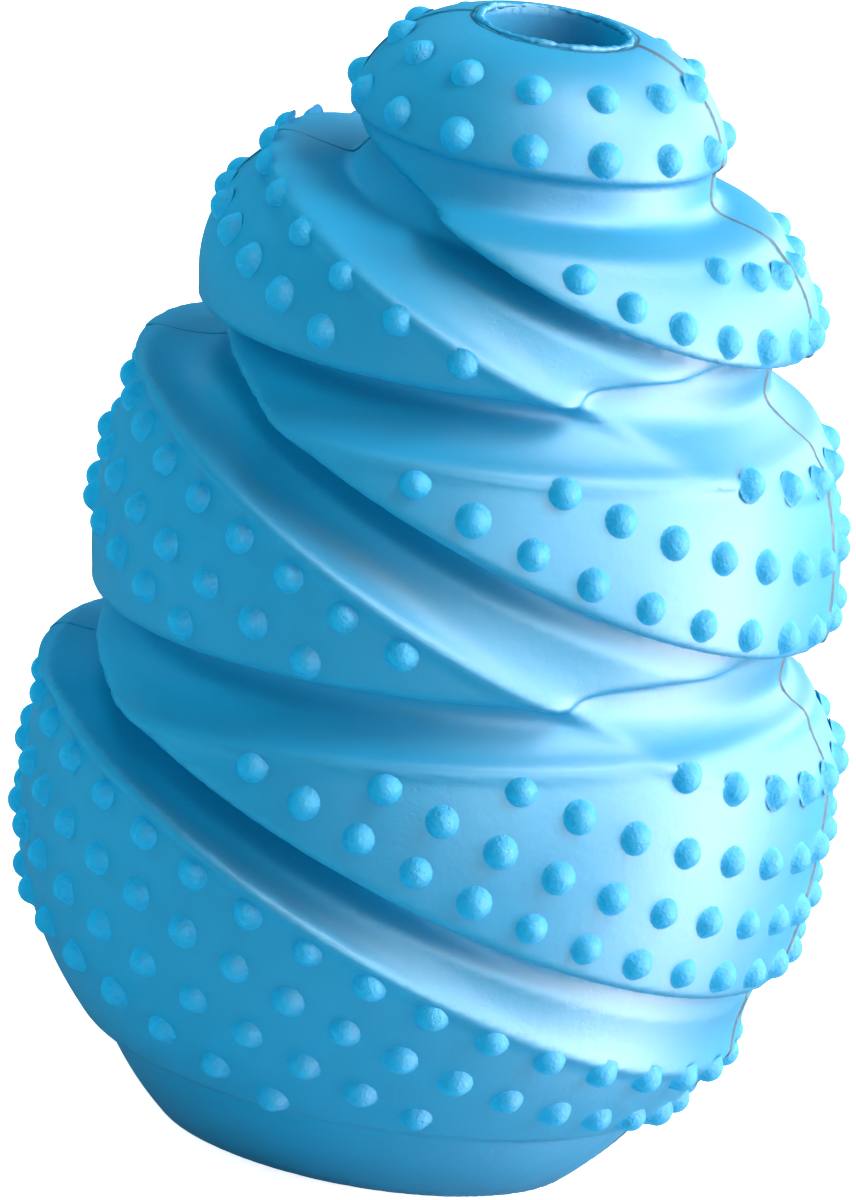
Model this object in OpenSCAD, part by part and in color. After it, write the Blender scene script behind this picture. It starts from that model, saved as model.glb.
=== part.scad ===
/* [Body] */
// Height from the face it stands on to the top of the cap
body_h = 112.5; // [111:0.1:115]

/* [Cap] */
// Radius of the cap's straight side
cap_r = 18.6; // [18:0.1:20]
// Radius of the round from the cap's side to its top
cap_round = 12.2; // [11:0.1:13]
// Height of the cap's lower edge, as a share of the toy's height
cap_edge_share = 0.9049; // [0.898:0.001:0.915]

/* [Top tier] */
// Radius at its widest
top_r = 30.2; // [29:0.1:32]
// Radius of the round of its bulge
top_round = 12.8; // [12.2:0.1:13.2]
// Height of its middle, as a share of the toy's height
top_mid_share = 0.7556; // [0.75:0.001:0.764]

/* [Middle tier] */
// Radius at its widest
mid_r = 36.3; // [35.5:0.1:37.5]
// Height of its middle, as a share of the toy's height
mid_mid_share = 0.5333; // [0.523:0.001:0.543]

/* [Low tier] */
// Radius at its widest
low_r = 38.8; // [38:0.1:40]
// Height of its middle, as a share of the toy's height
low_mid_share = 0.3067; // [0.302:0.001:0.316]

/* [Foot] */
// Height of the foot below the low tier's edge
foot_h = 8; // [7:0.1:9]
// Radius of the foot under that edge
foot_r = 27.3; // [26.5:0.1:28.2]
// Radius of the flat that it stands on
rest_r = 20.5; // [19:0.1:22]

/* [Necks] */
// Height of the top tier's lower edge at the axis, as a share of the toy's height
top_edge_share = 0.7307; // [0.72:0.001:0.738]
// Height of the middle tier's lower edge at the axis, as a share of the toy's height
mid_edge_share = 0.472; // [0.463:0.001:0.48]
// Width of the neck under the cap
cap_neck_w = 4.9; // [4:0.1:5.5]
// Width of the two other necks
neck_w = 6; // [5:0.1:7]
// Depth of the neck under the cap
cap_neck_d = 0.8; // [0.5:0.1:1.5]
// Depth of the two other necks
neck_d = 3.2; // [2:0.1:4]
// Rise of the top tier's lower edge towards the right seam
top_neck_tilt = 3; // [0:0.5:5]
// Rise of the middle tier's lower edge towards the right seam
mid_neck_tilt = 5; // [0:0.5:7]

/* [Swirl grooves] */
// Fall of the three swirl grooves towards the right seam
swirl_tilt = 20; // [18:0.5:22]
// Depth of the swirl grooves
swirl_d = 3.6; // [2:0.1:4]
// Distance of the top tier's groove above the tier's middle
top_swirl_up = 9.5; // [9:0.1:10]
// Distance of the middle tier's groove above the tier's middle
mid_swirl_up = 9.2; // [8.5:0.1:10]
// Distance of the low tier's groove above the tier's middle
low_swirl_up = 0.9; // [0:0.1:2]
// Width of the top tier's groove
top_swirl_w = 6.8; // [6:0.1:7.5]
// Width of the middle tier's groove
mid_swirl_w = 7.7; // [7:0.1:8.5]
// Width of the low tier's groove
low_swirl_w = 5.8; // [5:0.1:7]
// Shift of the top tier's groove towards the right seam
top_swirl_shift = 1; // [0:0.1:1.5]
// Shift of the two other grooves away from the right seam
swirl_shift = 0.8; // [0:0.1:1.5]

/* [Nubs] */
// Radius of a nub
nub_r = 1.6; // [1.2:0.1:1.8]
// How far a nub stands out of the rubber
nub_h = 1.5; // [1:0.1:1.6]
// Distance between the nubs of a row
nub_pitch = 6.35; // [6:0.05:8]
// Distance between the rows
row_pitch = 5.8; // [5.5:0.1:7]
// Distance of the first row above a groove's edge
row_above = 3.7; // [3.3:0.1:4.5]
// Distance of the first row below a groove's lip
row_below = 2.6; // [2.3:0.1:3.5]
// Clear height between the middle of a nub and the lip over it
lip_clear = 1.2; // [1:0.1:2]
// Clear height between the middle of a nub and the edge under it
edge_clear = 2; // [1.8:0.1:3]
// Distance between the nubs round the cap
cap_nub_pitch = 7.8; // [7:0.1:9]
// Height of the cap's lower row of nubs above its edge
cap_row_up = 2.4; // [2.2:0.1:3]
// Height between the cap's two rows of nubs
cap_row_pitch = 5.1; // [4.8:0.1:5.6]

/* [Hollow] */
// Radius of the hole in the cap
hole_r = 7.3; // [6.8:0.1:8]
// Radius of the filling mouth under the foot
mouth_r = 14; // [12:0.1:15]
// Height of the mouth's wall
mouth_h = 9; // [7:0.5:10]
// Thickness of the rubber round the treat cavity
wall = 9; // [7:0.5:10]
// Least thickness of the rubber in the neck under the top tier
neck_wall = 4; // [3:0.5:5]
// Radius of the treat cavity in the top tier
neck_cavity_r = 18; // [15:0.5:19]

/* [Hidden] */
$fn = 64;
// How far cutting solids run past what they cut
over = 1;
// Height above a groove's floor at which its hollow starts, as a share of its width
heel_share = 0.13;
// Reach of a groove's cutter past its edge, as a share of its depth
reach_share = 1;
rubber = [0.42, 0.74, 0.93];

cap_edge_z = body_h * cap_edge_share;
top_z = body_h * top_mid_share;
mid_z = body_h * mid_mid_share;
low_z = body_h * low_mid_share;
top_edge_z = body_h * top_edge_share;
mid_edge_z = body_h * mid_edge_share;
cap_mid_z = body_h - cap_round;
reach_r = max(low_r, mid_r, top_r, foot_r) + over;
// The foot is part of a ball through its upper edge and its resting edge.
foot_ball_z = (foot_r * foot_r + foot_h * foot_h - rest_r * rest_r) / (2 * foot_h);
foot_ball_r = norm([rest_r, foot_ball_z]);

// Radius of a ball of radius r, centred at height c, at height z
function ball_at(r, c, z) = abs(z - c) < r ? sqrt(r * r - (z - c) * (z - c)) : 0;
function cap_at(z) =
  z > body_h || z < top_z ? 0
  : z > cap_mid_z ? cap_r - cap_round + ball_at(cap_round, cap_mid_z, z)
  : cap_r;
function top_at(z) =
  abs(z - top_z) < top_round ? top_r - top_round + ball_at(top_round, top_z, z) : 0;
function low_at(z) = z > foot_h ? ball_at(low_r, low_z, z) : ball_at(foot_ball_r, foot_ball_z, z);
// Radius of the body at height z before its grooves are cut
function skin_at(z) = max(cap_at(z), top_at(z), ball_at(mid_r, mid_z, z), low_at(z));

// Grooves: [height of the pivot, height over it, lean, shift, edge radius, lip radius, width, depth]
necks = [
  [cap_edge_z, 0, 0, 0, cap_at(cap_edge_z), skin_at(cap_edge_z - cap_neck_w), cap_neck_w,
    cap_neck_d],
  [top_edge_z, 0, -top_neck_tilt, 0, top_at(top_edge_z), skin_at(top_edge_z - neck_w), neck_w,
    neck_d],
  [mid_edge_z, 0, -mid_neck_tilt, 0, ball_at(mid_r, mid_z, mid_edge_z),
    skin_at(mid_edge_z - neck_w), neck_w, neck_d]
];
swirls = [
  [top_z, top_swirl_up, swirl_tilt, top_swirl_shift, top_at(top_z + top_swirl_up),
    top_at(top_z + top_swirl_up - top_swirl_w), top_swirl_w, swirl_d],
  [mid_z, mid_swirl_up, swirl_tilt, -swirl_shift, ball_at(mid_r, 0, mid_swirl_up),
    ball_at(mid_r, 0, mid_swirl_up - mid_swirl_w), mid_swirl_w, swirl_d],
  [low_z, low_swirl_up, swirl_tilt, -swirl_shift, ball_at(low_r, 0, low_swirl_up),
    ball_at(low_r, 0, low_swirl_up - low_swirl_w), low_swirl_w, swirl_d]
];

// Radius of a groove's floor, its depth inside both its edge and its lip
function floor_at(edge_r, lip_r, depth) = min(edge_r, lip_r) - depth;

// The cavity's middle leaves the neck under the top tier its least wall.
neck_floor_r = floor_at(necks[1][4], necks[1][5], neck_d);
mid_cavity_r = min(mid_r - wall, norm([neck_floor_r - neck_wall, top_edge_z - mid_z]));

// Heights of the two leaning edges at distance x towards the right seam
function top_edge(x) = top_edge_z + x * tan(top_neck_tilt);
function mid_edge(x) = mid_edge_z + x * tan(mid_neck_tilt);

module bulge(round_r, across, z) {
  translate([across, z]) circle(round_r);
}

// Half outline of the body before its grooves are cut
module body_outline() {
  intersection() {
    union() {
      bulge(cap_round, cap_r - cap_round, cap_mid_z);
      translate([0, cap_mid_z]) square([cap_r - cap_round, cap_round]);
      translate([0, top_z]) square([cap_r, cap_mid_z - top_z]);
      bulge(top_round, top_r - top_round, top_z);
      translate([0, top_z - top_round]) square([top_r - top_round, 2 * top_round]);
      bulge(mid_r, 0, mid_z);
      intersection() {
        bulge(low_r, 0, low_z);
        translate([0, foot_h]) square([reach_r, mid_z]);
      }
      intersection() {
        bulge(foot_ball_r, 0, foot_ball_z);
        square([reach_r, foot_h]);
      }
    }
    square([reach_r, body_h]);
  }
}

// Half outline of the treat cavity
module cavity_outline() {
  intersection() {
    union() {
      bulge(low_r - wall, 0, low_z);
      bulge(mid_cavity_r, 0, mid_z);
      bulge(neck_cavity_r, 0, top_z);
    }
    translate([0, mouth_h]) square([reach_r, body_h]);
  }
}

// Section of a groove: a sharp edge on top, a deep floor under it and a hollow slope out to the lip
module groove_section(edge_r, lip_r, width, depth) {
  floor_r = floor_at(edge_r, lip_r, depth);
  heel = width * heel_share;
  run = lip_r - floor_r;
  drop = width - heel;
  hollow_r = (run * run + drop * drop) / (2 * run);
  intersection() {
    translate([floor_r + hollow_r, -heel]) circle(hollow_r);
    translate([0, -2 * width]) square([max(edge_r, lip_r) + depth * reach_share, 2 * width]);
  }
}

// A groove turned round an axis that leans towards the right seam
module groove(g) {
  translate([g[3], 0, g[0]])
    rotate([0, g[2], 0])
      translate([0, 0, g[1]])
        rotate_extrude() groove_section(g[4], g[5], g[6], g[7]);
}

// Phase of each row of nubs, as a share of the distance between two nubs
top_above_shares = [0.03, 0.3];
top_below_shares = [0.92, 0.48];
mid_above_shares = [0.22, 0.42, 0.55];
mid_below_shares = [0.82, 0.66, 0.47];
low_above_shares = [0.35, 0.55, 0.82, 0.82];
low_below_shares = [0.27, 0.88, 0.31, 0.1];
cap_shares = [0.58, 0.93];

// Places of a row's nubs, up above the middle of a tier whose rows lean by fall: [direction, x, z]
function row_places(r, c, up, fall, pitch, phase) =
  let (ring = ball_at(r, 0, up), count = round(2 * PI * ring / pitch))
  [for (i = [0 : 1 : count - 1])
    let (
      a = (i + phase) * 360 / count,
      x = ring * cos(a) * cos(fall) + up * sin(fall)
    )
    [atan2(ring * sin(a), x), x, c + up * cos(fall) - ring * cos(a) * sin(fall)]
  ];
function tier_places(r, c, first, step, shares) =
  [for (i = [0 : len(shares) - 1])
    each row_places(r, c, first + i * step, swirl_tilt, nub_pitch, shares[i])];

nub_places = concat(
  [for (p = tier_places(top_r, top_z, top_swirl_up + row_above, row_pitch, top_above_shares))
    if (p[2] < cap_edge_z - cap_neck_w - lip_clear) p],
  [for (p = tier_places(top_r, top_z, top_swirl_up - top_swirl_w - row_below, -row_pitch,
      top_below_shares))
    if (p[2] > top_edge(p[1]) + edge_clear) p],
  [for (p = tier_places(mid_r, mid_z, mid_swirl_up + row_above, row_pitch, mid_above_shares))
    if (p[2] < top_edge(p[1]) - neck_w - lip_clear) p],
  [for (p = tier_places(mid_r, mid_z, mid_swirl_up - mid_swirl_w - row_below, -row_pitch,
      mid_below_shares))
    if (p[2] > mid_edge(p[1]) + edge_clear) p],
  [for (p = tier_places(low_r, low_z, low_swirl_up + row_above, row_pitch, low_above_shares))
    if (p[2] < mid_edge(p[1]) - neck_w - lip_clear) p],
  [for (p = tier_places(low_r, low_z, low_swirl_up - low_swirl_w - row_below, -row_pitch,
      low_below_shares))
    if (p[2] > foot_h + lip_clear) p],
  row_places(cap_r, cap_edge_z + cap_row_up, 0, 0, cap_nub_pitch, cap_shares[0]),
  row_places(cap_r, cap_edge_z + cap_row_up + cap_row_pitch, 0, 0, cap_nub_pitch, cap_shares[1])
);

// Height of a nub's middle over a groove's edge, along the groove's leaning axis
function over_edge(p, g) =
  (skin_at(p[2]) * cos(p[0]) - g[3]) * sin(g[2]) + (p[2] - g[0]) * cos(g[2]) - g[1];
function clear_of(p, g) =
  let (h = over_edge(p, g)) h > edge_clear || h < -g[6] - lip_clear;
// Nubs that stand clear of every groove
clear_places = [for (p = nub_places)
  if (min([for (g = concat(necks, swirls)) clear_of(p, g) ? 1 : 0]) > 0) p];

// Distance of a nub's middle from the seam plane, on one side of it
function from_seam(p, side) = sin(p[0]) * side * skin_at(p[2]);

module nub(p) {
  rotate([0, 0, p[0]])
    translate([skin_at(p[2]) - nub_r + nub_h, 0, p[2]])
      sphere(nub_r);
}

// Space on one side of the seam plane
module side_space(side) {
  translate([-2 * reach_r, side > 0 ? 0 : -2 * reach_r, -over])
    cube([4 * reach_r, 2 * reach_r, body_h + 2 * over]);
}

// Nubs that stand wholly on one side of the seam
module whole_nubs(side) {
  for (p = [for (q = clear_places) if (from_seam(q, side) > nub_r) q]) nub(p);
}

// Nubs that the seam runs through
module seam_nubs(side) {
  intersection() {
    for (p = [for (q = clear_places) if (abs(from_seam(q, side)) <= nub_r) q]) nub(p);
    side_space(side);
  }
}

module shell(side) {
  difference() {
    union() {
      intersection() {
        difference() {
          rotate_extrude() body_outline();
          for (g = concat(necks, swirls)) groove(g);
        }
        side_space(side);
      }
      whole_nubs(side);
      seam_nubs(side);
    }
    rotate_extrude() cavity_outline();
    translate([0, 0, top_z]) cylinder(r = hole_r, h = body_h - top_z + over);
    translate([0, 0, -over]) cylinder(r = mouth_r, h = mouth_h + 2 * over);
  }
}

module front_shell() {
  color(rubber) shell(-1);
}

module rear_shell() {
  color(rubber) shell(1);
}

front_shell();
rear_shell();
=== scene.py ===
"""Visual model of a hollow rubber chew toy: two moulded half shells with swirl grooves and domed nubs."""

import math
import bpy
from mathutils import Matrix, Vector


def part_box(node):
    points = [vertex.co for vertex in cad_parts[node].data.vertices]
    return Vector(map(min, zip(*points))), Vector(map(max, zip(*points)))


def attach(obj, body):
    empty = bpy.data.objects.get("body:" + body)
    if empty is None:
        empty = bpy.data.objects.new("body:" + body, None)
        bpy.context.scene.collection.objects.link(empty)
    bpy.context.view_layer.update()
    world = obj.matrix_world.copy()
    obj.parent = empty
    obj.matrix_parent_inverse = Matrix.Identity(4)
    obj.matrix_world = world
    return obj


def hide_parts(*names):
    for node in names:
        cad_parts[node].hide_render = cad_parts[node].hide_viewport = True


bl_info = {
    "name": "Swirled rubber chew toy",
    "version": (1, 0, 0),
    "blender": (4, 5, 0),
    "location": "View3D > Sidebar > Chew Toy",
    "description": "Builds a nubbed, swirl-grooved rubber chew toy and its white studio",
    "category": "Object",
}

from collections import namedtuple

import bmesh
import bpy
import numpy as np
from bpy.props import FloatProperty, FloatVectorProperty, IntProperty, PointerProperty
from mathutils import Quaternion, Vector

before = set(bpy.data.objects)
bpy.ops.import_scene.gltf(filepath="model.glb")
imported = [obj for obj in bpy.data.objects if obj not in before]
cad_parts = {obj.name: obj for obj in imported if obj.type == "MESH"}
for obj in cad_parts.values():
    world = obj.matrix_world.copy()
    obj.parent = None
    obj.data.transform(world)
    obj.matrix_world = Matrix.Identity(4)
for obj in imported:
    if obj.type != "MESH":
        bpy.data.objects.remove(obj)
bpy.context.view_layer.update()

MM = 0.001
CAD_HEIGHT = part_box("front_shell")[1][2]

# The turned outline, in mm
CAP_SIDE = 18.6  # the cap's radius
CAP_ROUND = 12.2  # round of its upper edge
CAP_TOP = 112.4
TOP_ACROSS = 17.4  # radius of the top tier's disc without its round edge
TOP_ROUND = 12.8
TOP_Z = 85.0
MID_R, MID_Z = 36.3, 60.0  # ball of the middle tier and its height
LOW_R, LOW_Z = 38.8, 34.5  # ball of the low tier and its height
FOOT_H = 8.3  # height of the edge between foot and low tier
FOOT_R = 27.3  # the foot's radius at that edge
REST_R = 20.5  # radius of the flat that the toy rests on
CAP_BLEND, TIER_BLEND, FOOT_BLEND = 2.0, 1.0, 0.6  # hollow rounds between cap, tiers and foot
LOW_EDGE = 0.8  # round of the low tier's edge over the foot
# Fuller shoulders of the low tier: height over its middle, reach, amount and side, + at the right seam
SHOULDERS = ((13.0, 10.0, 1.5, 1.0), (-16.0, 11.0, 0.6, -1.0))

# The hollow, in mm
WALL = 9.0  # rubber round the two lower chambers
TOP_CHAMBER_R = 18.0
CAVITY = ((LOW_R - WALL, LOW_Z), (MID_R - WALL, MID_Z), (TOP_CHAMBER_R, TOP_Z))
MOUTH_H = 9.0  # height at which the mouth opens into the hollow
MOUTH_OVERRUN = 1.0
LEAST_WALL = 2.4  # least rubber between a groove and the hollow
WALL_BLEND = 1.0
CAVITY_EDGE, HOLE_EDGE, MOUTH_EDGE = 0.8, 0.5, 1.2  # rounds where the hollow opens

AXIS_GAP = 1e-3  # least distance from the axis, where no direction leads to the right seam
LEAST_SLOPE = 1e-9  # least slope of a field that is divided by

# A plane that leans along X: its height on the axis in mm and its slope towards the right seam
Plane = namedtuple("Plane", "z slope")
# A groove round the body in mm: planes of its upper wall and of its lower lip, its depth and the share of it
# that is lost at the right seam, the power of the floor's rise to the lip, the extra depth of the trench
# under the wall, the round of the wall's edge as a share of the edge round, the lip's round and bead
Groove = namedtuple("Groove", "wall lip depth loss rise trench wall_round lip_round bead")

CROWN = Groove(
    Plane(101.8, 0.0), Plane(96.9, 0.0),
    depth=1.2, loss=0.2, rise=2.5, trench=0.0, wall_round=1.1, lip_round=0.5, bead=0.3,
)
TOP_NECK = Groove(
    Plane(82.2, 0.06), Plane(76.2, 0.042),
    depth=3.2, loss=0.45, rise=2.8, trench=0.6, wall_round=1.3, lip_round=0.4, bead=0.65,
)
MID_NECK = Groove(
    Plane(53.1, 0.074), Plane(47.2, 0.11),
    depth=3.2, loss=0.55, rise=2.8, trench=0.6, wall_round=1.3, lip_round=0.4, bead=0.65,
)
TOP_SWIRL = Groove(
    Plane(95.06, -0.326), Plane(87.87, -0.388),
    depth=3.8, loss=0.55, rise=3.4, trench=1.7, wall_round=1.4, lip_round=0.6, bead=0.8,
)
MID_SWIRL = Groove(
    Plane(69.8, -0.3385), Plane(61.6, -0.41),
    depth=4.8, loss=0.66, rise=3.6, trench=2.3, wall_round=1.4, lip_round=0.6, bead=0.9,
)
LOW_SWIRL = Groove(
    Plane(35.5, -0.318), Plane(29.3, -0.3845),
    depth=4.4, loss=0.65, rise=2.8, trench=2.7, wall_round=1.2, lip_round=0.6, bead=0.9,
)
GROOVES = (CROWN, TOP_NECK, MID_NECK, TOP_SWIRL, MID_SWIRL, LOW_SWIRL)

# Where a groove starts to lose depth and where its share is lost, from -1 at the left seam to 1 at the right
LOSS_FROM, LOSS_TO = -0.5, 0.7
# What all grooves' sections share, in mm
LEAST_WIDTH = 2.0
HEEL = 0.8  # flat part of the floor under the wall
HEEL_ROUND = 0.7  # hollow round between wall and floor
TRENCH_FROM, TRENCH_TO = 0.9, 3.4  # distances under the wall between which the trench runs out
ROUND_FROM = 1.0  # distance under the wall where the edge's round starts to turn into the lip's
ROUND_SHARE = 0.6  # share of the groove's width over which it does
BEAD_WIDE = 0.9  # half width of the bead on the lip
BEAD_BELOW = 0.8  # how many half widths the bead's ridge lies below the lip's plane

# Rows of nubs: part of the body, radius, height and lean of the ball that its rows go round, and of each row
# the height over the ball's middle, the count and the first nub's place as a share of the pitch
TOP_R = TOP_ACROSS + TOP_ROUND
LOW_LEAN, MID_LEAN, TOP_LEAN = 19.5, 20.5, 20.0
CAP_ROW_Z, CROWN_ROW_Z = 104.2, 109.3
ROWS = (
    ("low_upper", LOW_R, LOW_Z, LOW_LEAN,
     ((5.0, 38, 0.35), (10.4, 37, 0.55), (16.2, 35, 0.82), (22.4, 32, 0.82))),
    ("low_lower", LOW_R, LOW_Z, LOW_LEAN,
     ((-7.4, 35, 0.27), (-13.2, 37, 0.88), (-19.0, 34, 0.31), (-24.7, 30, 0.1))),
    ("mid_upper", MID_R, MID_Z, MID_LEAN, ((12.8, 32, 0.2), (18.8, 31, 0.42), (25.1, 24, 0.55))),
    ("mid_lower", MID_R, MID_Z, MID_LEAN, ((-1.5, 34, 0.82), (-7.6, 34, 0.66), (-12.9, 34, 0.47))),
    ("top_upper", TOP_R, TOP_Z, TOP_LEAN, ((12.7, 29, 0.03), (18.0, 27, 0.3))),
    ("top_lower", TOP_R, TOP_Z, TOP_LEAN, ((1.0, 25, 0.92), (-4.5, 30, 0.48))),
    ("cap", CAP_SIDE, CAP_ROW_Z, 0.0, ((0.0, 15, 0.58),)),
    ("cap", CAP_SIDE, CROWN_ROW_Z, 0.0, ((0.0, 13, 0.93),)),
)
# Where no nub stands, in mm
BELOW_LIP = 1.2  # least distance of a nub's foot below a groove's lip
ABOVE_WALL = 2.0  # the same above a groove's wall
ABOVE_FOOT = 1.0  # the same above the edge over the foot
TOP_LEFT_END = 92.5  # height that the top tier's nubs stay under on the left
# The search for a nub's foot on the rubber, from outside inward, in mm
SEEK_FROM = 44.0
SEEK_STEPS = 60
SEEK_OUT, SEEK_IN = 0.5, 2.0  # longest steps outward and inward
SEEK_DAMPED = 0.9
OUTWARD_SHARE = 0.25  # how far a nub points straight out from the axis and not along the rubber's normal
# A nub's mesh, its rings as shares of the nub's height, radius and flare
NUB_SIDES, NUB_RINGS = 14, 7
NUB_RISES = (0.0, 0.10, 0.26, 0.48, 0.70, 0.87, 0.97, 1.0)
NUB_FLARES = (1.0, 0.5, 0.12, 0.0, 0.0, 0.0, 0.0, 0.0)
NUB_TIP = 0.08  # radius of the flat tip
NUB_SUNK = 0.15 * MM  # how deep the root is sunk

# Torn flash round the treat hole, in mm
FLASH_STEPS, FLASH_SIDES = 360, 8  # steps round the hole and sides of its section
FLASH_OUT = 0.1  # distance of its middle outside the hole
FLASH_WIDE, FLASH_TALL = 0.38, 0.28  # half width and half height
FLASH_LEAST_WIDE, FLASH_LEAST_TALL = 0.15, 0.12
FLASH_WAVES, FLASH_SEED = (3, 7, 12, 19, 31, 47, 70), 11  # waves to the turn in its ragged edge
FLASH_RAGGED = 0.13  # size of the waves
FLASH_WIDE_SHARE, FLASH_TALL_SHARE = 0.8, 1.2  # share of it in width and height

# Meshing, with distances in mm
ROOT_STEPS = 3  # steps to the place where a grid edge crosses the surface
MEAN_PULL = 0.08  # pull of a vertex to the mean of its crossings
FARTHEST = 0.75  # its farthest place from there, in cells
SIDE_SPACE = 2.0  # the grid's space round the rubber
SEAM_SPACE = 1.7  # its space past the seam and under the floor
SEAM_ROUND = 0.2  # round of a half's edge at the seam
SKIN = 0.35  # how near to the whole toy's skin a half takes the whole toy's normals
FINE_REACH, SKIN_REACH, NUB_REACH = 0.04, 0.1, 0.3  # reach of a slope at crossings, on the skin and at nubs
SHELL_SHARP, NUB_SHARP, FLASH_SHARP = 50, 70, 80  # angles in degrees past which an edge is shaded sharp


class ToyBodySizes(bpy.types.PropertyGroup):
    """Sizes of the half shells"""

    hole_radius: FloatProperty(
        name="Treat hole radius",
        description="Radius of the hole in the cap",
        default=7.3 * MM,
        unit="LENGTH",
    )
    mouth_radius: FloatProperty(
        name="Filling mouth radius",
        description="Radius of the mouth under the foot",
        default=14.0 * MM,
        unit="LENGTH",
    )
    cell: FloatProperty(
        name="Mesh cell",
        description="Size of the cells that the rubber is meshed in",
        default=0.66 * MM,
        unit="LENGTH",
    )
    edge_round: FloatProperty(
        name="Edge round",
        description="Rounding of the grooves' sharp upper edges",
        default=1.0 * MM,
        unit="LENGTH",
    )
    seam_step: FloatProperty(
        name="Seam step",
        description="How far the rear half stands out past the front half",
        default=0.2 * MM,
        unit="LENGTH",
    )


class ToyNubSizes(bpy.types.PropertyGroup):
    """Sizes of the nubs"""

    radius: FloatProperty(name="Nub radius", description="Radius of a nub", default=1.5 * MM, unit="LENGTH")
    height: FloatProperty(
        name="Nub height",
        description="How far a nub stands out of the rubber",
        default=1.4 * MM,
        unit="LENGTH",
    )
    flare: FloatProperty(
        name="Root flare",
        description="Width of the fillet round a nub's root",
        default=0.35 * MM,
        unit="LENGTH",
    )
    spread: FloatProperty(
        name="Size spread",
        description="Largest difference of a nub's size from the mean",
        default=0.05,
        subtype="FACTOR",
    )
    seed: IntProperty(name="Seed", description="Seed of the nubs' sizes", default=7)


class ToyRubberLook(bpy.types.PropertyGroup):
    """Colour and shine of the rubber"""

    colour: FloatVectorProperty(
        name="Rubber",
        description="Colour of the rubber",
        default=(0.001, 0.27, 0.51),
        subtype="COLOR",
        size=3,
        min=0.0,
        max=1.0,
    )
    roughness: FloatProperty(
        name="Roughness", description="Roughness of the rubber", default=0.5, subtype="FACTOR"
    )
    sheen: FloatProperty(
        name="Sheen", description="Specular level of the rubber", default=0.2, subtype="FACTOR"
    )


class ToyStageLook(bpy.types.PropertyGroup):
    """Camera and light of the white studio"""

    distance: FloatProperty(
        name="Camera distance",
        description="Distance of the camera from the toy's middle",
        default=2.3,
        unit="LENGTH",
    )
    roll: FloatProperty(
        name="Camera roll",
        description="Lean of the toy in the picture",
        default=math.radians(9.85),
        subtype="ANGLE",
    )
    power: FloatProperty(name="Lamp power", description="Factor on the power of every lamp", default=1.0)
    ambient: FloatProperty(name="Ambient", description="Strength of the light from all round", default=0.11)


# The rubber's shape as a field: below 0 inside the rubber, above 0 outside, all in mm


def soft_max(a, b, k):
    """The larger of two fields, with the edge between them rounded over about k."""
    h = np.maximum(k - np.abs(a - b), 0.0) / k
    return np.maximum(a, b) + h * h * k * 0.25


def soft_min(a, b, k):
    """The smaller of two fields, with the hollow between them rounded over about k."""
    return -soft_max(-a, -b, k)


def ease(t):
    """A smooth rise from 0 to 1 while t goes from 0 to 1."""
    t = np.clip(t, 0.0, 1.0)
    return t * t * (3.0 - 2.0 * t)


def height_at(plane, x):
    """Height of a leaning plane at x."""
    return plane.z + plane.slope * x


def over(plane, x, z):
    """Distance of a place over a leaning plane, below 0 under it."""
    return (z - height_at(plane, x)) * math.cos(math.atan(plane.slope))


def envelope(rho, z, right):
    """The tiers before their grooves are cut; right runs from -1 at the left seam to 1 at the right one."""
    out, up = rho - (CAP_SIDE - CAP_ROUND), z - (CAP_TOP - CAP_ROUND)
    cap = np.hypot(np.maximum(out, 0.0), np.maximum(up, 0.0)) - CAP_ROUND
    top = np.hypot(np.maximum(rho - TOP_ACROSS, 0.0), z - TOP_Z) - TOP_ROUND
    mid = np.hypot(rho, z - MID_Z) - MID_R
    low = np.hypot(rho, z - LOW_Z) - LOW_R
    for shoulder, reach, amount, side in SHOULDERS:
        near = np.exp(-(((z - LOW_Z - shoulder) / reach) ** 2))
        low = low - amount * np.maximum(side * right, 0.0) * near
    low = soft_max(low, FOOT_H - z, LOW_EDGE)
    # The foot is part of the ball that passes through its edge and through the edge of the flat it rests on
    foot_z = (FOOT_R**2 + FOOT_H**2 - REST_R**2) / (2 * FOOT_H)
    foot = np.hypot(rho, z - foot_z) - math.hypot(REST_R, foot_z)
    foot = np.maximum(foot, z - LOW_Z)
    body = soft_min(soft_min(cap, top, CAP_BLEND), mid, TIER_BLEND)
    body = soft_min(soft_min(body, low, TIER_BLEND), foot, FOOT_BLEND)
    return np.maximum(body, -z)


def cut_groove(body, x, right, z, groove, edge_round):
    """Cuts a ring groove: a wall on top, a trench under it and a hollow floor up to a raised round lip."""
    under = -over(groove.wall, x, z)
    over_lip = over(groove.lip, x, z)
    width = np.maximum(under + over_lip, LEAST_WIDTH)
    run = np.maximum(under - HEEL, 0.0) / (width - HEEL)
    keep = 1.0 - groove.loss * ease((right - LOSS_FROM) / (LOSS_TO - LOSS_FROM))
    trench = groove.trench * (1.0 - ease((under - TRENCH_FROM) / (TRENCH_TO - TRENCH_FROM)))
    cut = keep * (groove.depth * (1.0 - run**groove.rise) + trench)
    body = body - groove.bead * keep * np.exp(-((over_lip / BEAD_WIDE + BEAD_BELOW) ** 2))
    wall_round = groove.wall_round * edge_round
    towards_lip = ease((under - ROUND_FROM) / (ROUND_SHARE * width))
    edge = wall_round + (groove.lip_round - wall_round) * towards_lip
    return soft_max(body, soft_min(under, body + cut, HEEL_ROUND), edge)


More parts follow.
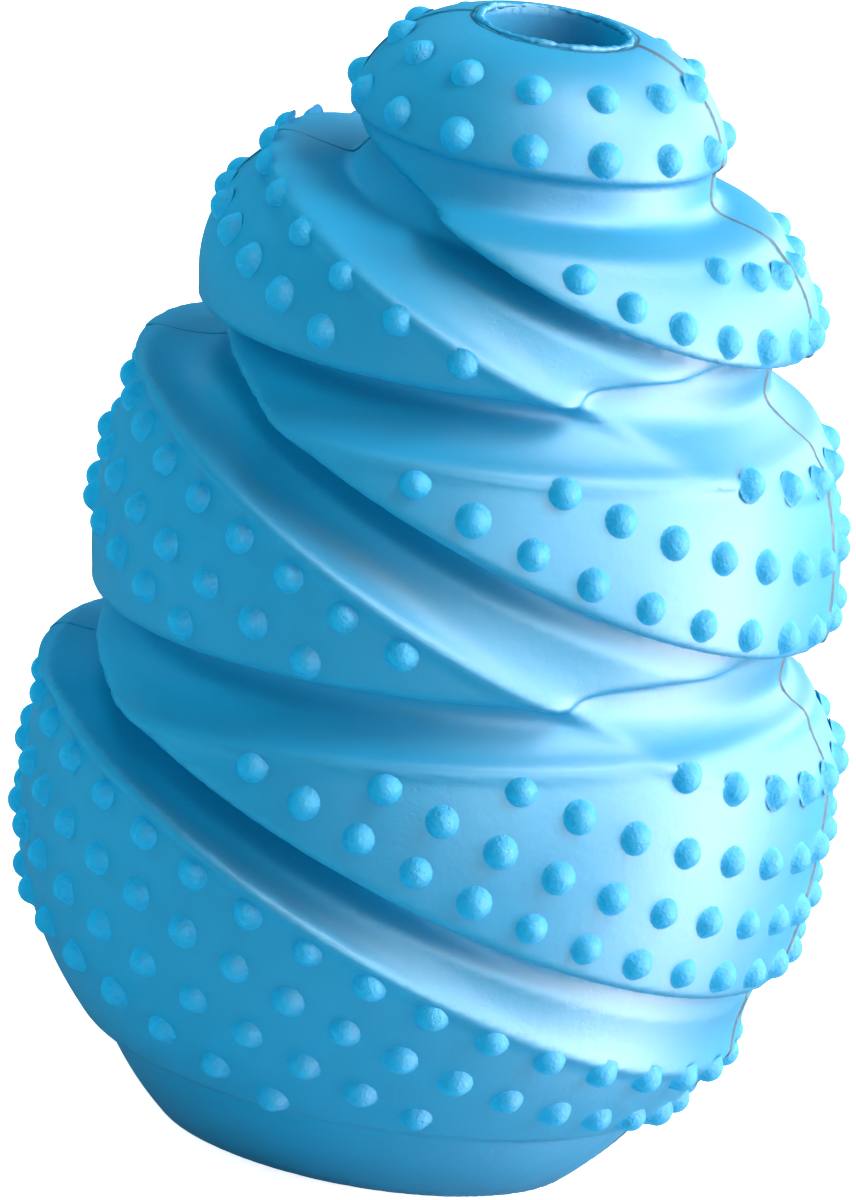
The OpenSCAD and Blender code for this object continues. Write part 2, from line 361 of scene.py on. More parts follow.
def rubber_of(sizes):
    """The field of the whole toy for the sizes that the sidebar shows."""
    hole_r, mouth_r = sizes.hole_radius / MM, sizes.mouth_radius / MM
    edge_round = sizes.edge_round / MM

    def field(x, y, z):
        rho = np.hypot(x, y)
        right = x / np.maximum(rho, AXIS_GAP)
        body = envelope(rho, z, right)
        for groove in GROOVES:
            body = cut_groove(body, x, right, z, groove, edge_round)
        cavity = np.minimum.reduce([np.hypot(rho, z - chamber_z) - r for r, chamber_z in CAVITY])
        cavity = np.maximum(cavity, MOUTH_H - z)
        body = soft_max(soft_min(body, cavity - LEAST_WALL, WALL_BLEND), -cavity, CAVITY_EDGE)
        hole = np.maximum(rho - hole_r, TOP_Z - z)
        mouth = np.maximum(rho - mouth_r, z - MOUTH_H - MOUTH_OVERRUN)
        return soft_max(soft_max(body, -hole, HOLE_EDGE), -mouth, MOUTH_EDGE)

    return field


def field_normals(field, places, reach):
    """Directions in which the field rises at some places, measured over the reach to both sides."""
    slopes = np.empty_like(places)
    for d in range(3):
        step = np.zeros(3)
        step[d] = reach
        slopes[:, d] = field(*(places + step).T) - field(*(places - step).T)
    length = np.linalg.norm(slopes, axis=1, keepdims=True)
    return slopes / np.maximum(length, LEAST_SLOPE)


# The mesh of a field: a vertex in each grid cell that the surface crosses, a quad across each grid edge


def edge_crossings(field, value, axes, d):
    """Where the grid's edges along axis d cross the surface, and the cells round each, in a quad's order."""
    cells = [len(axis) - 1 for axis in axes]
    cell = axes[d][1] - axes[d][0]
    e, f = (d + 1) % 3, (d + 2) % 3
    index = np.array(np.nonzero(np.diff(value < 0.0, axis=d)))
    index = index[:, (index[e] > 0) & (index[f] > 0) & (index[e] < cells[e]) & (index[f] < cells[f])]
    beyond = index.copy()
    beyond[d] += 1
    v_near, v_far = value[tuple(index)], value[tuple(beyond)]
    outside = v_near > 0
    places = np.stack([axes[k][index[k]] for k in range(3)], axis=1)
    start = places[:, d].copy()
    t_near, t_far = np.zeros(len(v_near)), np.ones(len(v_near))
    for _ in range(ROOT_STEPS):
        t = t_near + (t_far - t_near) * v_near / (v_near - v_far)
        places[:, d] = start + t * cell
        v = field(*places.T)
        same = (v < 0) == (v_near < 0)
        t_near, v_near = np.where(same, t, t_near), np.where(same, v, v_near)
        t_far, v_far = np.where(same, t_far, t), np.where(same, v_far, v)
    places[:, d] = start + (t_near + (t_far - t_near) * v_near / (v_near - v_far)) * cell
    around = []
    for step_e, step_f in ((-1, -1), (0, -1), (0, 0), (-1, 0)):
        c = index.copy()
        c[e] += step_e
        c[f] += step_f
        around.append((c[0] * cells[1] + c[1]) * cells[2] + c[2])
    around = np.stack(around, axis=1)
    return places, np.where(outside[:, None], around[:, ::-1], around)


def settle(slot, size, point, normal, cell):
    """The vertex of each cell, where the planes through its crossings meet, kept near their mean."""
    number = np.bincount(slot, minlength=size).astype(float)
    mean = np.stack([np.bincount(slot, point[:, k], size) for k in range(3)], axis=1) / number[:, None]
    offset = np.einsum("ij,ij->i", normal, point - mean[slot])
    left, right = np.empty((size, 3, 3)), np.empty((size, 3))
    for row in range(3):
        right[:, row] = np.bincount(slot, normal[:, row] * offset, size)
        for column in range(3):
            left[:, row, column] = np.bincount(slot, normal[:, row] * normal[:, column], size)
    left += np.eye(3) * (MEAN_PULL * number)[:, None, None]
    shift = np.linalg.solve(left, right[:, :, None])[:, :, 0]
    return mean + np.clip(shift, -FARTHEST * cell, FARTHEST * cell)


def contour(field, low, high, cell):
    """Vertices and quads of the closed surface where the field is 0, with its crisp edges kept."""
    axes = [a + cell * np.arange(int(math.ceil((b - a) / cell)) + 1) for a, b in zip(low, high)]
    value = np.stack([field(x, axes[1][:, None], axes[2][None, :]) for x in axes[0]])
    quads, points, normals = [], [], []
    for d in range(3):
        places, around = edge_crossings(field, value, axes, d)
        quads.append(around)
        points.append(np.repeat(places, 4, axis=0))
        normals.append(np.repeat(field_normals(field, places, FINE_REACH), 4, axis=0))
    quads = np.concatenate(quads)
    used, slot = np.unique(quads.ravel(), return_inverse=True)
    verts = settle(slot, len(used), np.concatenate(points), np.concatenate(normals), cell)
    # The toy stands on the floor, so no vertex lies under it
    verts[:, 2] = np.maximum(verts[:, 2], 0.0)
    return verts, slot.reshape(-1, 4)


def mesh_object(name, verts, faces):
    """A mesh object from arrays of vertices in m and of faces that all have as many corners."""
    mesh = bpy.data.meshes.new(name)
    mesh.vertices.add(len(verts))
    mesh.vertices.foreach_set("co", np.asarray(verts, np.float32).ravel())
    corners = faces.shape[1]
    mesh.loops.add(faces.size)
    mesh.loops.foreach_set("vertex_index", np.asarray(faces, np.int32).ravel())
    mesh.polygons.add(len(faces))
    mesh.polygons.foreach_set("loop_start", np.arange(0, faces.size, corners, dtype=np.int32))
    mesh.update(calc_edges=True)
    mesh.validate()
    obj = bpy.data.objects.new(name, mesh)
    bpy.context.scene.collection.objects.link(obj)
    return obj


def finish_rubber(obj, material, sharp):
    """Gives a piece its material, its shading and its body."""
    obj.data.materials.clear()
    obj.data.materials.append(material)
    obj.data.shade_smooth()
    obj.data.set_sharp_from_angle(angle=math.radians(sharp))
    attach(obj, "root")


# The rubber's material, on the object's own coordinates in m; noise scales are in waves to the metre
SKIN_GRAIN, NUB_GRAIN, GRAIN_DETAIL = 900.0, 2600.0, 3.0
SKIN_BUMP, NUB_BUMP = 0.13, 0.5  # strength of the grain's bump
BUMP_HEIGHT = 0.3 * MM  # height of a full bump
PIT_SCALE, PIT_ENDS = 2300.0, (0.62, 0.72)  # pits, and the noise where a pit starts and is full
PATCH_SCALE, PATCH_ENDS = 75.0, (0.56, 0.70)  # patches that hold the pits
PIT_DETAIL, PIT_DEPTH = 1.0, 1.5  # depth of a pit against the grain
NUB_ROUGHNESS, NUB_SHEEN = 0.65, 0.14
TONE_SCALE, TONE_DETAIL, TONE_RANGE = 60.0, 3.0, 0.16  # slow change of the tone
# The nubs' higher least tone is painted light: a paler rubber that stands in for the light that the nubs'
# tops catch
SKIN_TONE, NUB_PAINTED_LIGHT_TONE = 0.92, 1.2  # least tone
# The parting line
LINE_DARK = 0.75
WOBBLE, WOBBLE_SCALE, WOBBLE_DETAIL = 0.3 * MM, 420.0, 2.0  # wobble to each side
SEAM_WOBBLE = 0.6  # share of the wobble that the line at the seam has
SEAM_ENDS = (0.08 * MM, 0.22 * MM)  # distances from the seam where the line is full and gone
SEAM_STARTS = (7.8 * MM, 8.2 * MM)  # distances from the axis between which it comes in
LEFT_LINE, LEFT_ENDS = 0.4, (-4.0 * MM, 4.0 * MM)  # its strength on the left, and where it grows to full
RING_R = 8.15 * MM  # radius of the line round the treat hole
RING_ENDS = (0.06 * MM, 0.24 * MM)  # distances from that ring where the line is full and gone
RING_HEIGHTS = (109.5 * MM, 110.5 * MM)  # heights between which it comes in


class NodeMaker:
    """Short forms for adding nodes to a tree and feeding them with numbers and sockets."""

    def __init__(self, tree):
        self.new, self.link = tree.nodes.new, tree.links.new

    def calc(self, kind, *values):
        """Result of a sum of numbers and sockets."""
        node = self.new("ShaderNodeMath")
        node.operation = kind
        for socket, value in zip(node.inputs, values):
            if isinstance(value, (int, float)):
                socket.default_value = value
            else:
                self.link(value, socket)
        return node.outputs[0]

    def noise(self, coords, scale, detail):
        """Noise from 0 to 1."""
        node = self.new("ShaderNodeTexNoise")
        node.inputs["Scale"].default_value = scale
        node.inputs["Detail"].default_value = detail
        self.link(coords, node.inputs["Vector"])
        return node.outputs["Fac"]

    def rise(self, value, ends):
        """A smooth rise from 0 to 1 while the value goes from one end to the other."""
        node = self.new("ShaderNodeMapRange")
        node.interpolation_type = "SMOOTHSTEP"
        node.inputs["From Min"].default_value = ends[0]
        node.inputs["From Max"].default_value = ends[1]
        self.link(value, node.inputs["Value"])
        return node.outputs["Result"]

    def curve(self, value, heights):
        """A curve through heights that are evenly spaced from 0 to 1."""
        node = self.new("ShaderNodeFloatCurve")
        points = [(i / (len(heights) - 1), height) for i, height in enumerate(heights)]
        line = node.mapping.curves[0]
        line.points[0].location, line.points[1].location = points[0], points[-1]
        for point in points[1:-1]:
            line.points.new(*point)
        node.mapping.update()
        self.link(value, node.inputs["Value"])
        return node.outputs[0]


def grain_height(make, coords, scale):
    """Height of the fine grain with its pits, which come in patches."""
    pits = make.rise(make.noise(coords, PIT_SCALE, PIT_DETAIL), PIT_ENDS)
    patches = make.rise(make.noise(coords, PATCH_SCALE, PIT_DETAIL), PATCH_ENDS)
    depth = make.calc("MULTIPLY", make.calc("MULTIPLY", pits, patches), -PIT_DEPTH)
    return make.calc("ADD", make.noise(coords, scale, GRAIN_DETAIL), depth)


def parting_line(make, coords):
    """Strength of the line along the seam, fainter on the left, and round the treat hole's torn flash."""
    place = make.new("ShaderNodeSeparateXYZ")
    make.link(coords, place.inputs[0])
    x, y, z = place.outputs
    square = make.calc("ADD", make.calc("MULTIPLY", x, x), make.calc("MULTIPLY", y, y))
    from_axis = make.calc("SQRT", square)
    wobble = make.noise(coords, WOBBLE_SCALE, WOBBLE_DETAIL)
    wobble = make.calc("MULTIPLY_ADD", wobble, 2.0 * WOBBLE, -WOBBLE)
    off_seam = make.calc("ABSOLUTE", make.calc("MULTIPLY_ADD", wobble, SEAM_WOBBLE, y))
    seam = make.calc("SUBTRACT", 1.0, make.rise(off_seam, SEAM_ENDS))
    seam = make.calc("MULTIPLY", seam, make.rise(from_axis, SEAM_STARTS))
    side = make.calc("MULTIPLY_ADD", make.rise(x, LEFT_ENDS), 1.0 - LEFT_LINE, LEFT_LINE)
    seam = make.calc("MULTIPLY", seam, side)
    off_ring = make.calc("ABSOLUTE", make.calc("ADD", make.calc("SUBTRACT", from_axis, RING_R), wobble))
    ring = make.calc("SUBTRACT", 1.0, make.rise(off_ring, RING_ENDS))
    ring = make.calc("MULTIPLY", ring, make.rise(z, RING_HEIGHTS))
    return make.calc("MAXIMUM", seam, ring)


def colour_socket(sockets, name):
    """The socket of that name that carries a colour, of a node that has one for each kind of data."""
    return next(socket for socket in sockets if socket.name == name and socket.type == "RGBA")


def rubber_material(nubs=False):
    """The rubber's material; the nubs are the same rubber, duller, with a finer, stronger grain, and paler as
    painted light for the light that their tops catch.
    """
    name = "Blue rubber nubs" if nubs else "Blue rubber"
    mat = bpy.data.materials.get(name)
    if mat:
        return mat
    look = bpy.context.scene.toy_rubber
    mat = bpy.data.materials.new(name)
    mat.use_nodes = True
    make = NodeMaker(mat.node_tree)
    shader = mat.node_tree.nodes["Principled BSDF"]
    shader.inputs["Roughness"].default_value = NUB_ROUGHNESS if nubs else look.roughness
    shader.inputs["Specular IOR Level"].default_value = NUB_SHEEN if nubs else look.sheen
    coords = make.new("ShaderNodeTexCoord").outputs["Object"]

    bump = make.new("ShaderNodeBump")
    bump.inputs["Strength"].default_value = NUB_BUMP if nubs else SKIN_BUMP
    bump.inputs["Distance"].default_value = BUMP_HEIGHT
    make.link(grain_height(make, coords, NUB_GRAIN if nubs else SKIN_GRAIN), bump.inputs["Height"])
    make.link(bump.outputs["Normal"], shader.inputs["Normal"])

    # The nubs' higher tone is painted light for the light that their tops catch
    least = NUB_PAINTED_LIGHT_TONE if nubs else SKIN_TONE
    level = make.calc("MULTIPLY_ADD", make.noise(coords, TONE_SCALE, TONE_DETAIL), TONE_RANGE, least)
    if not nubs:
        line = make.calc("MULTIPLY", parting_line(make, coords), LINE_DARK)
        level = make.calc("MULTIPLY", level, make.calc("SUBTRACT", 1.0, line))
    grey = make.new("ShaderNodeCombineColor")
    for socket in grey.inputs:
        make.link(level, socket)
    shade = make.new("ShaderNodeMix")
    shade.data_type, shade.blend_type = "RGBA", "MULTIPLY"
    shade.inputs["Factor"].default_value = 1.0
    colour_socket(shade.inputs, "A").default_value = (*look.colour, 1.0)
    make.link(grey.outputs[0], colour_socket(shade.inputs, "B"))
    make.link(colour_socket(shade.outputs, "Result"), shader.inputs["Base Color"])
    return mat


class TOY_OT_shells(bpy.types.Operator):
    """Mesh the two half shells of rubber with their grooves, cavity and openings"""

    bl_idname = "toy.shells"
    bl_label = "Half shells"

    def execute(self, context):
        sizes = context.scene.toy_body
        whole = rubber_of(sizes)
        step = sizes.seam_step / MM
        cell = sizes.cell / MM * 1.0
        reach, top = LOW_R + SIDE_SPACE, CAD_HEIGHT / MM + SIDE_SPACE

        def front(x, y, z):
            return soft_max(whole(x, y, z), y, SEAM_ROUND)

        def rear(x, y, z):
            return soft_max(whole(x, y, z) - step, -y, SEAM_ROUND)

        halves = {
            "front_shell": (front, (-reach, -reach, -SEAM_SPACE), (reach, SEAM_SPACE, top)),
            "rear_shell": (rear, (-reach, -SEAM_SPACE, -SEAM_SPACE), (reach, reach, top)),
        }
        for node, (field, low, high) in halves.items():
            verts, quads = contour(field, low, high, cell)
            obj = mesh_object(node + "_rubber", verts * MM, quads)
            finish_rubber(obj, rubber_material(), SHELL_SHARP)
            # On the skin both halves take the whole toy's normals, so that no shade shows at the seam
            normals = field_normals(field, verts, SKIN_REACH)
            skin = np.abs(whole(*verts.T)) < SKIN
            normals[skin] = field_normals(whole, verts[skin], SKIN_REACH)
            obj.data.normals_split_custom_set_from_vertices(normals)
            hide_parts(node)
        return {"FINISHED"}


def row_allowed(part, x, z):
    """Whether a nub on that part of the body clears the necks, the crown groove and the foot there."""
    if part == "low_upper":
        return z < height_at(MID_NECK.lip, x) - BELOW_LIP
    if part == "low_lower":
        return z > FOOT_H + ABOVE_FOOT
    if part == "mid_upper":
        return z < height_at(TOP_NECK.lip, x) - BELOW_LIP
    if part == "mid_lower":
        return z > height_at(MID_NECK.wall, x) + ABOVE_WALL
    if part == "top_upper":
        return z < (height_at(CROWN.lip, x) - BELOW_LIP if x > 0 else TOP_LEFT_END)
    if part == "top_lower":
        return z > height_at(TOP_NECK.wall, x) + ABOVE_WALL
    return True


def nub_places(field):
    """Foot and direction of every nub on the rubber, in mm."""
    turns, heights = [], []
    for part, ball_r, ball_z, lean, rows in ROWS:
        c, s = math.cos(math.radians(lean)), math.sin(math.radians(lean))
        for up, count, phase in rows:
            ring = math.sqrt(ball_r * ball_r - up * up)
            for i in range(count):
                turn = (i + phase) * 2 * math.pi / count
                x = ring * math.cos(turn) * c + up * s
                z = ball_z + up * c - ring * math.cos(turn) * s
                if row_allowed(part, x, z):
                    turns.append(math.atan2(ring * math.sin(turn), x))
                    heights.append(z)
    cos, sin, z = np.cos(turns), np.sin(turns), np.array(heights)
    r = np.full(len(turns), SEEK_FROM)
    for _ in range(SEEK_STEPS):
        r -= np.clip(field(r * cos, r * sin, z), -SEEK_OUT, SEEK_IN) * SEEK_DAMPED
    feet = np.stack([r * cos, r * sin, z], axis=1)
    outward = np.stack([cos, sin, np.zeros(len(cos))], axis=1)
    ways = OUTWARD_SHARE * outward + (1.0 - OUTWARD_SHARE) * field_normals(field, feet, NUB_REACH)
    return feet, ways / np.linalg.norm(ways, axis=1, keepdims=True)


def nub_tree(sizes):
    """Geometry nodes that set a domed nub with a flared root on every point, and the tree's inputs."""
    tree = bpy.data.node_groups.new("Nubs on rubber", "GeometryNodeTree")
    face = tree.interface
    face.new_socket("Geometry", in_out="INPUT", socket_type="NodeSocketGeometry")
    sockets = {}
    for label, kind, value in (
        ("Nub radius", "NodeSocketFloat", sizes.radius),
        ("Nub height", "NodeSocketFloat", sizes.height),
        ("Root flare", "NodeSocketFloat", sizes.flare),
        ("Size spread", "NodeSocketFloat", sizes.spread),
        ("Seed", "NodeSocketInt", sizes.seed),
        ("Material", "NodeSocketMaterial", None),
    ):
        socket = face.new_socket(label, in_out="INPUT", socket_type=kind)
        sockets[label] = socket.identifier
        if value is not None:
            socket.default_value = value
    face.new_socket("Geometry", in_out="OUTPUT", socket_type="NodeSocketGeometry")
    make = NodeMaker(tree)
    new, link = make.new, make.link
    inputs = new("NodeGroupInput").outputs

    # A drum of radius and height 1 whose rings take the dome's radius and rise
    drum = new("GeometryNodeMeshCylinder")
    drum.fill_type = "TRIANGLE_FAN"
    drum.inputs["Vertices"].default_value = NUB_SIDES
    drum.inputs["Side Segments"].default_value = NUB_RINGS
    drum.inputs["Radius"].default_value = 1.0
    drum.inputs["Depth"].default_value = 1.0
    parts = new("ShaderNodeSeparateXYZ")
    link(new("GeometryNodeInputPosition").outputs[0], parts.inputs[0])
    along = make.calc("ADD", parts.outputs["Z"], 0.5)
    girths = [max(math.sqrt(1.0 - rise * rise), NUB_TIP) for rise in NUB_RISES]
    girth = make.calc("MULTIPLY", make.curve(along, girths), inputs["Nub radius"])
    spreading = make.calc("MULTIPLY", make.curve(along, NUB_FLARES), inputs["Root flare"])
    radius = make.calc("ADD", girth, spreading)
    height = make.calc("MULTIPLY", make.curve(along, NUB_RISES), inputs["Nub height"])
    place = new("ShaderNodeCombineXYZ")
    link(make.calc("MULTIPLY", parts.outputs["X"], radius), place.inputs["X"])
    link(make.calc("MULTIPLY", parts.outputs["Y"], radius), place.inputs["Y"])
    link(make.calc("SUBTRACT", height, NUB_SUNK), place.inputs["Z"])
    shape = new("GeometryNodeSetPosition")
    link(drum.outputs["Mesh"], shape.inputs["Geometry"])
    link(place.outputs[0], shape.inputs["Position"])

    way = new("GeometryNodeInputNamedAttribute")
    way.data_type = "FLOAT_VECTOR"
    way.inputs["Name"].default_value = "way"
    align = new("FunctionNodeAlignRotationToVector")
    align.axis = "Z"
    link(way.outputs["Attribute"], align.inputs["Vector"])
    rand = new("FunctionNodeRandomValue")
    rand.data_type = "FLOAT"
    link(inputs["Seed"], rand.inputs["Seed"])
    for socket in rand.inputs:
        if socket.name == "Min" and socket.type == "VALUE":
            link(make.calc("SUBTRACT", 1.0, inputs["Size spread"]), socket)
        if socket.name == "Max" and socket.type == "VALUE":
            link(make.calc("ADD", 1.0, inputs["Size spread"]), socket)
    scatter = new("GeometryNodeInstanceOnPoints")
    link(inputs["Geometry"], scatter.inputs["Points"])
    link(shape.outputs["Geometry"], scatter.inputs["Instance"])
    link(align.outputs["Rotation"], scatter.inputs["Rotation"])
    link(next(s for s in rand.outputs if s.type == "VALUE" and s.enabled), scatter.inputs["Scale"])

    real = new("GeometryNodeRealizeInstances")
    link(scatter.outputs["Instances"], real.inputs["Geometry"])
    paint = new("GeometryNodeSetMaterial")
    link(real.outputs["Geometry"], paint.inputs["Geometry"])
    link(inputs["Material"], paint.inputs["Material"])
    link(paint.outputs["Geometry"], new("NodeGroupOutput").inputs["Geometry"])
    return tree, sockets


class TOY_OT_nubs(bpy.types.Operator):
    """Set the rows of domed nubs on the tiers and the cap"""

    bl_idname = "toy.nubs"
    bl_label = "Nubs"

    def execute(self, context):
        feet, ways = nub_places(rubber_of(context.scene.toy_body))
        tree, sockets = nub_tree(context.scene.toy_nubs)
        material = rubber_material(nubs=True)
        for half, mine in (("front", feet[:, 1] <= 0), ("rear", feet[:, 1] > 0)):
            mesh = bpy.data.meshes.new(half + "_nub_feet")
            mesh.vertices.add(int(mine.sum()))
            mesh.vertices.foreach_set("co", (feet[mine] * MM).astype(np.float32).ravel())
            way = mesh.attributes.new("way", "FLOAT_VECTOR", "POINT")
            way.data.foreach_set("vector", ways[mine].astype(np.float32).ravel())
            holder = bpy.data.objects.new(half + "_nub_feet", mesh)
            context.scene.collection.objects.link(holder)
            modifier = holder.modifiers.new("Nubs", "NODES")
            modifier.node_group = tree
            modifier[sockets["Material"]] = material
            depsgraph = context.evaluated_depsgraph_get()
            made = bpy.data.meshes.new_from_object(holder.evaluated_get(depsgraph))
            bpy.data.objects.remove(holder)
            if not len(made.polygons):
                raise RuntimeError("the nub tree made no faces")
            obj = bpy.data.objects.new(half + "_nubs", made)
            context.scene.collection.objects.link(obj)
            finish_rubber(obj, material, NUB_SHARP)
        return {"FINISHED"}


def close_ends(obj):
    """Closes the open ends of a tube and turns its normals outward."""
    work = bmesh.new()
    work.from_mesh(obj.data)
    bmesh.ops.holes_fill(work, edges=[e for e in work.edges if e.is_boundary], sides=0)
    bmesh.ops.recalc_face_normals(work, faces=work.faces)
    work.to_mesh(obj.data)
    work.free()


class TOY_OT_flash(bpy.types.Operator):
    """Set the torn ring of flash round the treat hole"""

    bl_idname = "toy.flash"
    bl_label = "Torn flash"

    def execute(self, context):
        hole_r = context.scene.toy_body.hole_radius / MM
        turn = np.arange(FLASH_STEPS) * 2 * math.pi / FLASH_STEPS
        rng = np.random.default_rng(FLASH_SEED)
        ragged = np.zeros((3, FLASH_STEPS))
        for wave in FLASH_WAVES:
            phases = rng.uniform(0, 2 * math.pi, (3, 1))
            ragged += np.cos(wave * turn + phases) * FLASH_RAGGED / math.sqrt(wave)
        section = np.arange(FLASH_SIDES) * 2 * math.pi / FLASH_SIDES
        half_turn = FLASH_STEPS // 2
        for half, first in (("front", half_turn), ("rear", 0)):
            mine = (first + np.arange(half_turn + 1)) % FLASH_STEPS
            middle = hole_r + FLASH_OUT + ragged[0, mine]
            wide = np.maximum(FLASH_WIDE + FLASH_WIDE_SHARE * ragged[1, mine], FLASH_LEAST_WIDE)
            tall = np.maximum(FLASH_TALL + FLASH_TALL_SHARE * ragged[2, mine], FLASH_LEAST_TALL)
            r = middle[:, None] + wide[:, None] * np.cos(section)
            z = CAP_TOP + tall[:, None] * np.sin(section)
            t = turn[mine][:, None]
            verts = np.stack([r * np.cos(t), r * np.sin(t), z], axis=2).reshape(-1, 3)
            rows = np.arange(half_turn)[:, None] * FLASH_SIDES
            here = np.arange(FLASH_SIDES)
            there = (here + 1) % FLASH_SIDES
            corners = [rows + here, rows + there, rows + FLASH_SIDES + there, rows + FLASH_SIDES + here]
            obj = mesh_object(half + "_flash", verts * MM, np.stack(corners, axis=2).reshape(-1, 4))
            close_ends(obj)
            finish_rubber(obj, rubber_material(), FLASH_SHARP)
        return {"FINISHED"}


# Lamps: azimuth from the camera's side, + towards the right, and elevation in degrees, side of the square in
# m, power in W, colour, and whether only shine shows the lamp or only diffuse light does. The floor casts no
# shadow, so sheen_low can stand below it.
LAMP_DISTANCE = 0.8
WHITE = (1.0, 1.0, 1.0)
WARM = (1.0, 0.82, 0.72)
LAMPS = (
    ("key_right", 80, 22, 0.28, 4.4, WHITE, False),
    ("key_high", 72, 56, 0.28, 4.0, WHITE, False),
    ("top_front", 0, 50, 0.28, 0.9, WHITE, False),
    ("back_right", 140, 30, 0.3, 3.0, WHITE, False),
    ("back", 205, 40, 0.3, 2.2, WHITE, False),
    ("rim_left", -108, 25, 0.3, 2.4, WHITE, False),
    ("side_left", -72, 20, 0.3, 0.5, WHITE, False),
    ("front", -15, 12, 0.3, 1.0, WHITE, False),
    ("sheen_right", 60, 22, 0.5, 19.0, WARM, True),
    ("sheen_side", 104, 24, 0.5, 18.0, WARM, True),
    ("sheen_high", 62, 60, 0.5, 34.0, WARM, True),
    ("sheen_level", 84, 0, 0.5, 36.0, WARM, True),
    ("sheen_low", 84, -26, 0.5, 19.0, WARM, True),
    ("sheen_front", 22, 16, 0.5, 16.0, WHITE, True),
    ("sheen_back", 140, 20, 0.5, 10.0, WARM, True),
)
FLOOR_HALF = 3.0  # half the floor's side in m
FLOOR_LIGHTNESS = 0.9
FLOOR_LIFT = 0.75  # white added where the camera sees the floor, so that only shadow falls short of white

MIDDLE = (0.0, 0.0, 0.0566)  # the point on the axis that camera and lamps look at
CAMERA_TURN = 81.0  # the camera's place round the axis, in degrees from the right seam to the front
CAMERA_UP = 15.19  # its elevation in degrees
# The photograph's frame in pixels
FRAME_W, FRAME_H = 856, 1200
MIDDLE_X, MIDDLE_Y = 459.7, 576.9  # where the toy's middle shows
PIXELS_PER_M = 10300.0  # length of a metre there
SENSOR_H = 36.0
CLIP_NEAR, CLIP_FAR = 0.05, 20.0


def polar(azimuth, elevation, distance):
    """A place round the toy's middle; azimuth is measured from the camera's side, + towards the right."""
    a, e = math.radians(azimuth - CAMERA_TURN), math.radians(elevation)
    way = (math.cos(a) * math.cos(e), math.sin(a) * math.cos(e), math.sin(e))
    return Vector(MIDDLE) + distance * Vector(way)


def look_at_middle(obj, roll=0.0):
    """Turns a camera or a lamp to the toy's middle."""
    aim = (Vector(MIDDLE) - obj.location).to_track_quat("-Z", "Y")
    obj.rotation_mode = "QUATERNION"
    obj.rotation_quaternion = aim @ Quaternion((0, 0, 1), roll)


def white_world(scene, ambient):
    """A world that the camera sees white and that lights the toy weakly from all round."""
    world = bpy.data.worlds.new("White studio")
    scene.world = world
    world.use_nodes = True
    tree = world.node_tree
    tree.nodes.clear()
    new, link = tree.nodes.new, tree.links.new
    mix = new("ShaderNodeMixShader")
    for strength, socket in ((ambient, mix.inputs[1]), (1.0, mix.inputs[2])):
        light = new("ShaderNodeBackground")
        light.inputs["Color"].default_value = (*WHITE, 1.0)
        light.inputs["Strength"].default_value = strength
        link(light.outputs[0], socket)
    link(new("ShaderNodeLightPath").outputs["Is Camera Ray"], mix.inputs["Fac"])
    link(mix.outputs[0], new("ShaderNodeOutputWorld").inputs["Surface"])


def white_floor():
    """A matt floor that glows to the camera alone, so that it shows white but takes the toy's shadow."""
    sides = ((-1, -1), (1, -1), (1, 1), (-1, 1))
    corners = np.array([(x * FLOOR_HALF, y * FLOOR_HALF, 0.0) for x, y in sides])
    floor = mesh_object("studio_floor", corners, np.array([(0, 1, 2, 3)]))
    paint = bpy.data.materials.new("White floor")
    paint.use_nodes = True
    tree = paint.node_tree
    tree.nodes.clear()
    make = NodeMaker(tree)
    matt, glow = make.new("ShaderNodeBsdfDiffuse"), make.new("ShaderNodeEmission")
    matt.inputs["Color"].default_value = (FLOOR_LIGHTNESS, FLOOR_LIGHTNESS, FLOOR_LIGHTNESS, 1.0)
    to_camera = make.new("ShaderNodeLightPath").outputs["Is Camera Ray"]
    make.link(make.calc("MULTIPLY", to_camera, FLOOR_LIFT), glow.inputs["Strength"])
    both = make.new("ShaderNodeAddShader")
    make.link(matt.outputs[0], both.inputs[0])
    make.link(glow.outputs[0], both.inputs[1])
    make.link(both.outputs[0], make.new("ShaderNodeOutputMaterial").inputs["Surface"])
    floor.data.materials.append(paint)
    floor.visible_glossy = floor.visible_shadow = False
    return floor


def soft_lamp(name, azimuth, elevation, side, power, colour, sheen):
    """A square lamp that only shine shows, or only diffuse light."""
    lamp = bpy.data.lights.new(name, "AREA")
    lamp.shape, lamp.size = "SQUARE", side
    lamp.energy, lamp.color = power, colour
    obj = bpy.data.objects.new(name, lamp)
    bpy.context.scene.collection.objects.link(obj)
    obj.location = polar(azimuth, elevation, LAMP_DISTANCE)
    look_at_middle(obj)
    obj.visible_diffuse, obj.visible_glossy = not sheen, sheen
    return obj


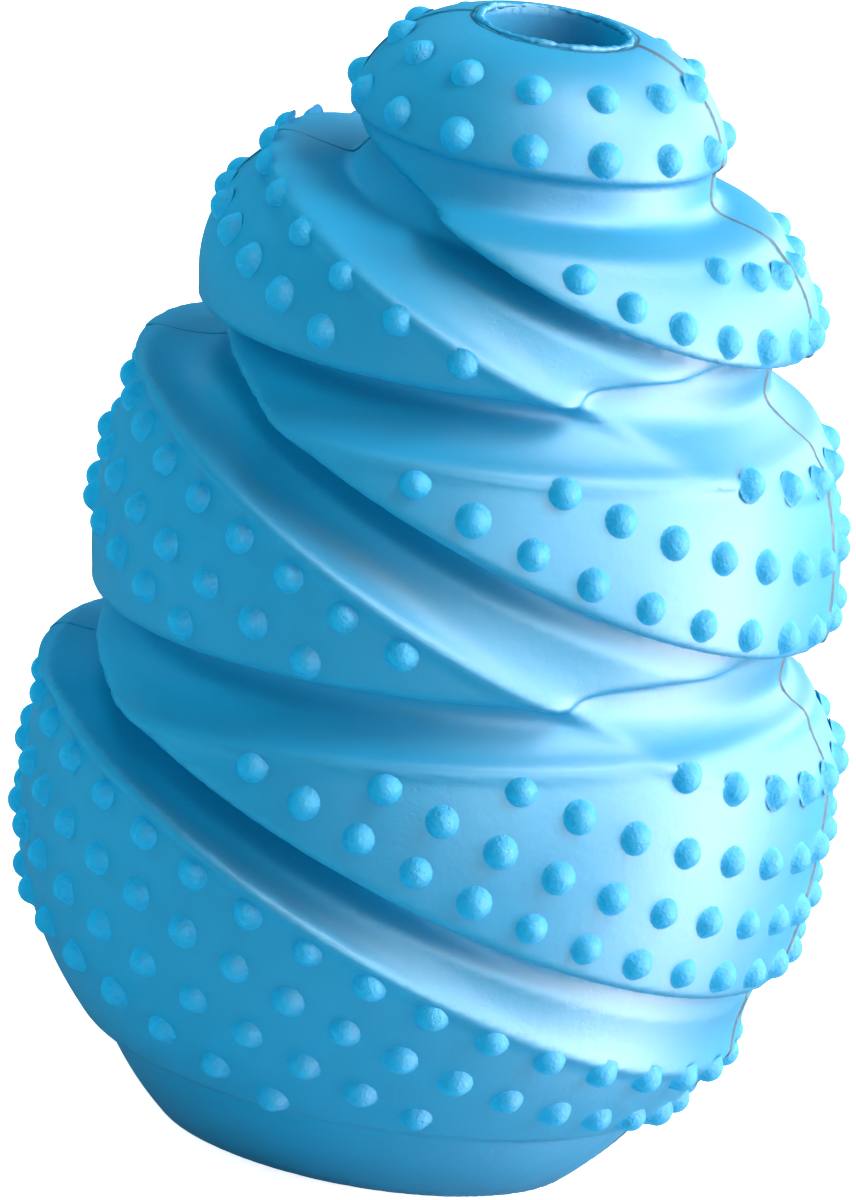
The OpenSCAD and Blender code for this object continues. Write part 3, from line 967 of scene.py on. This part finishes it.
def photo_camera(scene, look):
    """The camera at the photograph's angle and frame."""
    cam = bpy.data.cameras.new("Camera")
    eye = bpy.data.objects.new("Camera", cam)
    scene.collection.objects.link(eye)
    eye.location = polar(0.0, CAMERA_UP, look.distance)
    look_at_middle(eye, look.roll)
    cam.sensor_fit = "VERTICAL"
    cam.sensor_height = SENSOR_H
    cam.lens = SENSOR_H / FRAME_H * PIXELS_PER_M * look.distance
    # The frame's middle lies left of the toy's middle and below it, by these shares of the frame's height
    cam.shift_x = (FRAME_W / 2 - MIDDLE_X) / FRAME_H
    cam.shift_y = (MIDDLE_Y - FRAME_H / 2) / FRAME_H
    cam.clip_start, cam.clip_end = CLIP_NEAR, CLIP_FAR
    scene.camera = eye


class TOY_OT_stage(bpy.types.Operator):
    """Set up the white floor, the world light, the lamps and the camera"""

    bl_idname = "toy.stage"
    bl_label = "White studio"

    def execute(self, context):
        scene = context.scene
        look = scene.toy_stage
        white_world(scene, look.ambient)
        white_floor()
        for name, azimuth, elevation, side, power, colour, sheen in LAMPS:
            soft_lamp(name, azimuth, elevation, side, power * look.power, colour, sheen)
        photo_camera(scene, look)
        scene.view_settings.view_transform = "Standard"
        return {"FINISHED"}


class TOY_PT_panel(bpy.types.Panel):
    """Sizes, colours and steps of the chew toy"""

    bl_idname = "TOY_PT_panel"
    bl_label = "Chew toy"
    bl_space_type = "VIEW_3D"
    bl_region_type = "UI"
    bl_category = "Chew Toy"

    def draw(self, context):
        for group in GROUPS:
            data = getattr(context.scene, group)
            box = self.layout.box()
            for key in data.__annotations__:
                box.prop(data, key)
        for step in STEPS:
            self.layout.operator(step.bl_idname)


STEPS = (TOY_OT_shells, TOY_OT_nubs, TOY_OT_flash, TOY_OT_stage)
GROUPS = {
    "toy_body": ToyBodySizes,
    "toy_nubs": ToyNubSizes,
    "toy_rubber": ToyRubberLook,
    "toy_stage": ToyStageLook,
}


def register():
    for cls in (*GROUPS.values(), *STEPS, TOY_PT_panel):
        bpy.utils.register_class(cls)
    for name, cls in GROUPS.items():
        setattr(bpy.types.Scene, name, PointerProperty(type=cls))


def unregister():
    for name in GROUPS:
        delattr(bpy.types.Scene, name)
    for cls in reversed((*GROUPS.values(), *STEPS, TOY_PT_panel)):
        bpy.utils.unregister_class(cls)


def main():
    register()
    bpy.ops.toy.shells()
    bpy.ops.toy.nubs()
    bpy.ops.toy.flash()
    bpy.ops.toy.stage()


if __name__ == "__main__":
    main()
